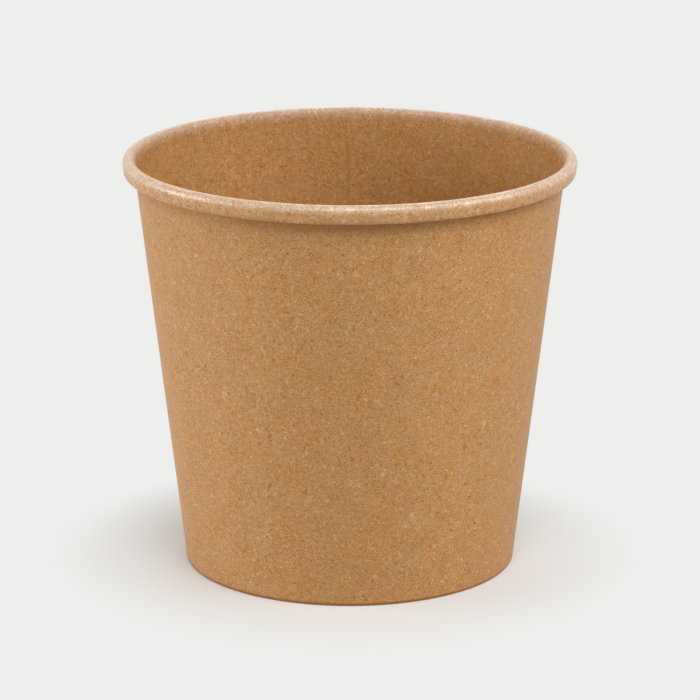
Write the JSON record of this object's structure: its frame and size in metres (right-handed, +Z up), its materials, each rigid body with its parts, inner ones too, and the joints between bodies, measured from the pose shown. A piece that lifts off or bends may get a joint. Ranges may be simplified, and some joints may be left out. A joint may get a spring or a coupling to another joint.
{
  "type": "kraft soup bowl",
  "caption": "Round tapered soup bowl of brown kraft board with a rolled rim, a lapped side seam and a recessed flat base held in a folded hem.",
  "frame": {"origin": "centre of the foot, on the surface that the bowl stands on", "axes": "+Z up along the bowl's axis, +Y towards the side seam at the back, +X to the right of the seam as seen from the front"},
  "size_m": [0.118, 0.118, 0.109],
  "materials": {
    "kraft_wall": "brown kraft board, matt and fibrous outside, with a thin satin coating inside and over the rolled rim",
    "kraft_base": "brown kraft board, satin coated above, matt and fibrous below"
  },
  "bodies": {
    "root": {"side_wall": "kraft_wall", "base_disc": "kraft_base"}
  },
  "joints": []
}
